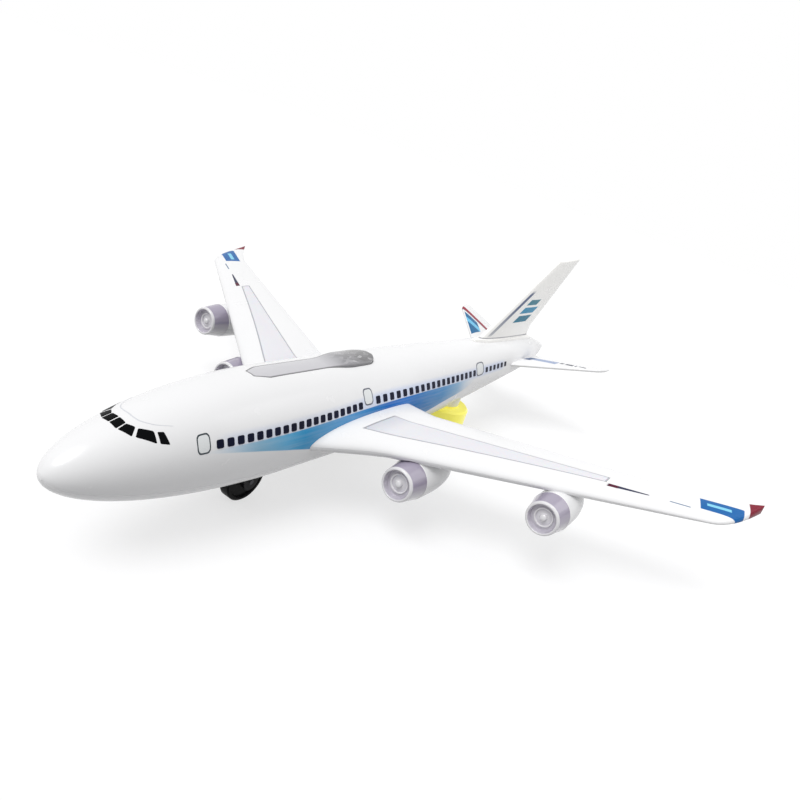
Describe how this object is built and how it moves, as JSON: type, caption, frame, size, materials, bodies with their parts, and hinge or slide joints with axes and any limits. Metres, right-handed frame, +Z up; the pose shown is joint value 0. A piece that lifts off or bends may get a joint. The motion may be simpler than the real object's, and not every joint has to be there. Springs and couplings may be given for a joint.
{
  "type": "toy airplane",
  "caption": "Toy airliner with swept wings, clear lit engine fronts, a smoky roof light window, a black nose wheel and a swivelling yellow bump-and-go drive pod under its tail.",
  "frame": {"origin": "on the floor, under the middle of the bounding box", "axes": "+X towards the nose, +Y towards the left wing tip, +Z up"},
  "size_m": [0.4301, 0.3794, 0.1209],
  "materials": {
    "white_shell": "glossy white polystyrene",
    "smoke_window": "smoky translucent",
    "frosted_bar": "frosted translucent",
    "clear_lens": "clear with a violet-grey tint",
    "lamp_clear": "clear lamp",
    "board": "solder-mask green",
    "black_plastic": "satin black",
    "black_wheel": "moulded black",
    "tyre_rubber": "matt rubber",
    "yellow_plastic": "glossy yellow",
    "gear_nylon": "natural nylon",
    "steel": "bright steel",
    "brass": "brass",
    "cell_jacket": "plain sleeved dry cell"
  },
  "bodies": {
    "airframe": {"fuselage_upper_shell": "white_shell", "fuselage_lower_shell": "white_shell", "roof_light_window": "smoke_window", "roof_light_board": "board", "left_wing_upper_shell": "white_shell", "left_wing_lower_shell": "white_shell", "left_wing_light_bar": "frosted_bar", "left_wing_light_board": "board", "right_wing_upper_shell": "white_shell", "right_wing_lower_shell": "white_shell", "right_wing_light_bar": "frosted_bar", "right_wing_light_board": "board", "left_inner_engine_lens": "clear_lens", "left_outer_engine_lens": "clear_lens", "right_inner_engine_lens": "clear_lens", "right_outer_engine_lens": "clear_lens", "engine_leds": "lamp_clear", "tail_fin": "white_shell", "left_tailplane": "white_shell", "right_tailplane": "white_shell", "nose_gear_fork": "black_plastic", "nose_axle": "steel", "idler_pin": "steel", "motor": "steel", "gearbox_base": "black_plastic", "gearbox_cover": "black_plastic", "gearbox_screws": "steel", "battery_case": "black_plastic", "battery_cells": "cell_jacket", "battery_contacts": "steel", "battery_door": "white_shell", "battery_door_screw": "steel", "switch_body": "black_plastic", "circuit_board": "board", "speaker": "black_plastic", "case_screws": "steel"},
    "nose_wheel": {"nose_wheel": "black_wheel"},
    "drive_pod": {"drive_pod_housing": "yellow_plastic", "drive_pod_base": "yellow_plastic", "drive_pod_retainer": "gear_nylon", "pod_screws": "steel"},
    "driven_axle": {"drive_axle": "steel", "crown_gear": "gear_nylon", "driven_wheel": "yellow_plastic", "driven_tyre": "tyre_rubber"},
    "free_wheel": {"free_wheel": "yellow_plastic", "free_tyre": "tyre_rubber"},
    "drive_shaft": {"drive_shaft": "steel", "shaft_gear": "gear_nylon", "shaft_pinion": "gear_nylon"},
    "idler": {"idler_gear": "gear_nylon"},
    "motor_rotor": {"motor_shaft": "steel", "motor_pinion": "brass"},
    "switch_knob": {"switch_knob": "black_plastic"}
  },
  "joints": [
    {"name": "nose_wheel_spin", "type": "hinge", "parent": "airframe", "child": "nose_wheel", "pos_m": [0.1183, 0, 0.011], "axis": [0, 1, 0], "continuous": true},
    {"name": "drive_pod_swivel", "type": "hinge", "parent": "airframe", "child": "drive_pod", "pos_m": [-0.058, 0, 0.02], "axis": [0, 0, 1], "continuous": true},
    {"name": "driven_axle_spin", "type": "hinge", "parent": "drive_pod", "child": "driven_axle", "pos_m": [-0.058, 0, 0.0095], "axis": [0, 1, 0], "continuous": true},
    {"name": "free_wheel_spin", "type": "hinge", "parent": "drive_pod", "child": "free_wheel", "pos_m": [-0.058, 0, 0.0095], "axis": [0, 1, 0], "continuous": true},
    {"name": "drive_shaft_spin", "type": "hinge", "parent": "airframe", "child": "drive_shaft", "pos_m": [-0.058, 0, 0.04], "axis": [0, 0, 1], "continuous": true},
    {"name": "idler_spin", "type": "hinge", "parent": "airframe", "child": "idler", "pos_m": [-0.0436, 0, 0.046], "axis": [0, 0, 1], "continuous": true},
    {"name": "motor_spin", "type": "hinge", "parent": "airframe", "child": "motor_rotor", "pos_m": [-0.02985, 0, 0.046], "axis": [0, 0, 1], "continuous": true},
    {"name": "power_switch", "type": "slide", "parent": "airframe", "child": "switch_knob", "axis": [1, 0, 0], "range_m": [-0.002, 0.002]}
  ],
  "couplings": [
    {"joint": "idler_spin", "follows": "drive_shaft_spin", "ratio": -3},
    {"joint": "motor_spin", "follows": "drive_shaft_spin", "ratio": 12}
  ]
}
